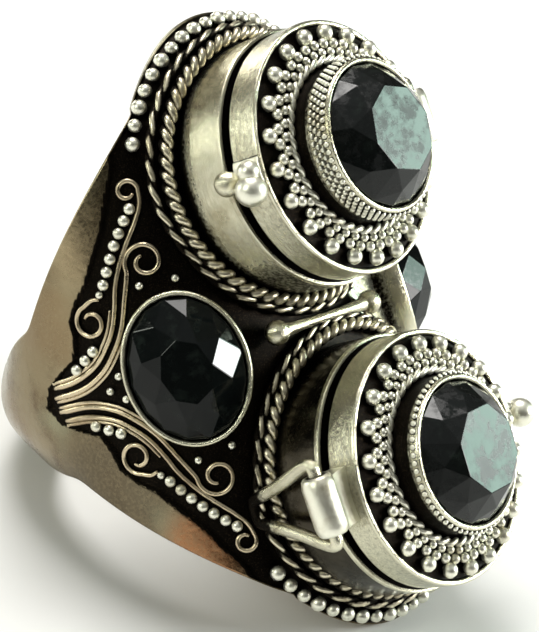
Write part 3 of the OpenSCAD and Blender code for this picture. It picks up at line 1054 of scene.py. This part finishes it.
def add_latch_plate(batch, centre, side, middle):
    """A thin plate on the lid's wall, 12 degrees wide about middle, from rows of (out, z, patina)."""
    rows = (
        (0.0, LID_LOW + 0.1, 0.1), (0.2, LID_LOW + 0.05, 0.9), (0.24, LID_LOW + 0.2, 1.0),
        (0.24, LID_TOP - 0.1, 1.0), (0.2, LID_TOP + 0.08, 0.9), (0.0, LID_TOP + 0.1, 0.1),
    )
    width = 12
    half = width / 2
    points = []
    worn = []
    for k in range(width + 1):
        b = math.radians(middle - half + k)
        from_edge = 1 if 0 < k < width else 0.2
        for out, z, shade in rows:
            r = LID_R - 0.04 + out * (1 - 0.6 * (abs(k - half) / half) ** 4)
            points.append((centre[0] + side * r * math.cos(b), centre[1] + r * math.sin(b), z))
            worn.append(shade * from_edge)
    count = len(rows)
    last = width * count
    faces = grid_faces(width + 1, count, close_cols=True)
    faces += [tuple(range(count)), tuple(last + count - 1 - i for i in range(count))]
    batch.add(points, faces if side < 0 else flipped(faces), worn)


def add_hinge_wire(batch, centre, side, shift):
    """The closed wire loop that holds the hinge pin, from the pin's line down to the head."""
    x, y = centre[0] + side * HINGE_OUT, centre[1] + shift
    half = smooth_path([
        (0, HINGE_Z), (1.0, HINGE_Z), (1.7, HINGE_Z), (2.12, HINGE_Z - 0.08), (2.2, HINGE_Z - 0.5),
        (2.0, HINGE_Z - 1.2), (1.4, 12.4), (0.8, 10.3), (0.62, 9.75), (0.3, 9.6), (0, 9.6),
    ])
    flat = np.vstack([half, (half * [-1, 1])[::-1][1:-1]])
    lean_in, height = 0.65, 5.9
    lean = side * lean_in * (HINGE_Z - flat[:, 1]) / height
    path = np.stack([x - lean, y + flat[:, 0], flat[:, 1]], -1)
    normal = np.broadcast_to([side * 1.0, 0, 0.001], path.shape)
    add_tube(batch, path, normal, LOOP_WIRE_R, 14, closed=True)
    batch.patina[-1] = ease(9.8, 11.5, batch.points[-1][:, 2]) * 0.95


def add_valley_bar(batch):
    """The waisted bar between the lobes, with a ball at each end."""
    z = HEAD_TOP + 0.3
    stations = 41
    ends = np.array([[-4.6, 0.13, z], [3.45, -0.4, z]])
    for end in ends:
        add_ball(batch, end, BAR_BALL_R, (0, 0, 1), 15, 24, bright=(-0.9, -0.3))
    radius = 0.26 + 0.2 * np.abs(np.linspace(-1, 1, stations)) ** 2
    path = ends[0] + (ends[1] - ends[0]) * np.linspace(0, 1, stations)[:, None]
    add_tube(batch, path, np.broadcast_to([0, 0, 1.0], path.shape), radius, 14)
    batch.patina[-1] = ease(-0.5, 1.1, (batch.points[-1][:, 2] - z) / 0.3)


def make_fittings():
    """The fixed clasp balls, the hinge wires and the bar in the valley."""
    batch = Batch()
    for centre, side in ((CUP_UPPER, -1), (CUP_LOWER, 1)):
        x, y = centre[0] + side * (CUP_R + 0.75), centre[1] + 0.31 + side * 0.2
        ball = np.array([x, y, CUP_TOP + 0.55])
        add_clasp_ball(batch, ball, CUP_BALL_R, side)
        add_neck(batch, ball, (centre[0] + side * (CUP_R - 0.1), ball[1], CUP_TOP - 0.5), 0.3)
    add_hinge_wire(batch, CUP_UPPER, 1, UPPER_HINGE_SHIFT)
    add_hinge_wire(batch, CUP_LOWER, -1, LOWER_HINGE_SHIFT)
    add_valley_bar(batch)
    batch.make("fittings", RING, WALL_SILVER, sharp=60)


def make_floor():
    mesh = bpy.data.meshes.new("floor")
    size = 1.5
    corners = [(-size, -size, 0), (size, -size, 0), (size, size, 0), (-size, size, 0)]
    mesh.from_pydata(corners, [], [(0, 1, 2, 3)])
    floor = bpy.data.objects.new("floor", mesh)
    bpy.context.scene.collection.objects.link(floor)
    mesh.materials.append(pale("floor_pale", (0.86, 0.86, 0.85)))


# Light and camera

# Soft lamps: name, azimuth, elevation, distance, width, height, watts, colour. Angles are in degrees
# and lengths in metres.
LAMPS = (
    ("top", 70, 66, 0.6, 0.26, 0.26, 3.0, (1.0, 0.98, 0.95)),
    ("window_right", -54, 21, 0.6, 0.12, 0.20, 1.4, (1.0, 0.99, 0.96)),
    ("window_far", -34, 17, 0.6, 0.15, 0.18, 1.1, (0.66, 0.92, 0.80)),
    ("glint", -41, 21, 0.59, 0.06, 0.06, 0.6, (1.0, 1.0, 1.0)),
    ("glint_low", -30, 4, 0.59, 0.07, 0.06, 0.5, (1.0, 1.0, 1.0)),
    ("window_left", 165, 30, 0.6, 0.12, 0.24, 1.0, (0.95, 1.0, 0.88)),
    ("behind_left", 122, 7, 0.6, 0.09, 0.16, 0.5, (0.95, 1.0, 0.88)),
    ("behind_right", 70, 7, 0.6, 0.12, 0.16, 0.6, (1.0, 0.97, 0.85)),
)


def make_lamp(name, azimuth, elevation, distance, width, height, power, colour):
    """A rectangular lamp that looks at the ring's middle."""
    data = bpy.data.lights.new(name, "AREA")
    data.shape = "RECTANGLE"
    data.size = width
    data.size_y = height
    data.energy = power
    data.color = colour
    lamp = bpy.data.objects.new(name, data)
    bpy.context.scene.collection.objects.link(lamp)
    a, e = math.radians(azimuth), math.radians(elevation)
    way = Vector((math.cos(a) * math.cos(e), math.sin(a) * math.cos(e), math.sin(e)))
    target = Vector((0, 0, 0.014))
    lamp.location = target + way * distance
    lamp.rotation_euler = way.to_track_quat("Z", "Y").to_euler()


def make_world():
    """A dim warm room, so that the polished metal shows dark streaks between the soft lamps."""
    world = bpy.data.worlds.new("studio")
    bpy.context.scene.world = world
    world.use_nodes = True
    tree = world.node_tree
    back = tree.nodes["Background"]
    coords = tree.nodes.new("ShaderNodeTexCoord")
    split = tree.nodes.new("ShaderNodeSeparateXYZ")
    ramp = tree.nodes.new("ShaderNodeValToRGB")
    tree.links.new(coords.outputs["Generated"], split.inputs[0])
    tree.links.new(split.outputs["Z"], ramp.inputs["Fac"])
    tree.links.new(ramp.outputs["Color"], back.inputs["Color"])
    ramp.color_ramp.elements[0].color = (0.02, 0.018, 0.015, 1)
    ramp.color_ramp.elements[1].color = (0.50, 0.52, 0.50, 1)
    middle = ramp.color_ramp.elements.new(0.45)
    middle.color = (0.05, 0.045, 0.035, 1)
    back.inputs["Strength"].default_value = 1.0


def make_camera():
    """The photograph's viewpoint, found from the rope rings, beads and bezels that it shows."""
    eye = place([[-75.25, 9.10, 78.88]])[0]
    right = LIE @ np.array([0.6347, -0.3172, 0.7046])
    down = LIE @ np.array([-0.2754, -0.9448, -0.1773])
    back = LIE @ np.array([-0.7220, 0.0815, 0.6871])
    data = bpy.data.cameras.new("photo_camera")
    data.sensor_fit = "HORIZONTAL"
    data.angle = math.radians(16.95)
    data.clip_start = 0.005
    data.clip_end = 20
    camera = bpy.data.objects.new("photo_camera", data)
    bpy.context.scene.collection.objects.link(camera)
    turn = Matrix((right, -down, back)).transposed()
    camera.matrix_world = Matrix.Translation(Vector(eye)) @ turn.to_4x4()
    bpy.context.scene.camera = camera
    bpy.context.scene.view_settings.view_transform = "Standard"


make_band()
make_head_trim()
make_shoulders()
make_side_bezels()
make_stones()
# Both cup walls carry painted shade: the upper cup on its near lower side, the lower cup all over
make_cup("cup_upper", CUP_UPPER, WALL_SILVER, painted_dark_side=0.55)
make_cup("cup_lower", CUP_LOWER, SHADE_PAINTED_SILVER)
make_lid("lid_upper", CUP_UPPER, UPPER, 1, UPPER_HINGE_SHIFT, UPPER_BEZEL_TOP, collar_rows=4)
make_lid("lid_lower", CUP_LOWER, LOWER, -1, LOWER_HINGE_SHIFT, LOWER_BEZEL_TOP, collar_rows=1)
make_fittings()
make_floor()
make_world()
for lamp in LAMPS:
    make_lamp(*lamp)
make_camera()
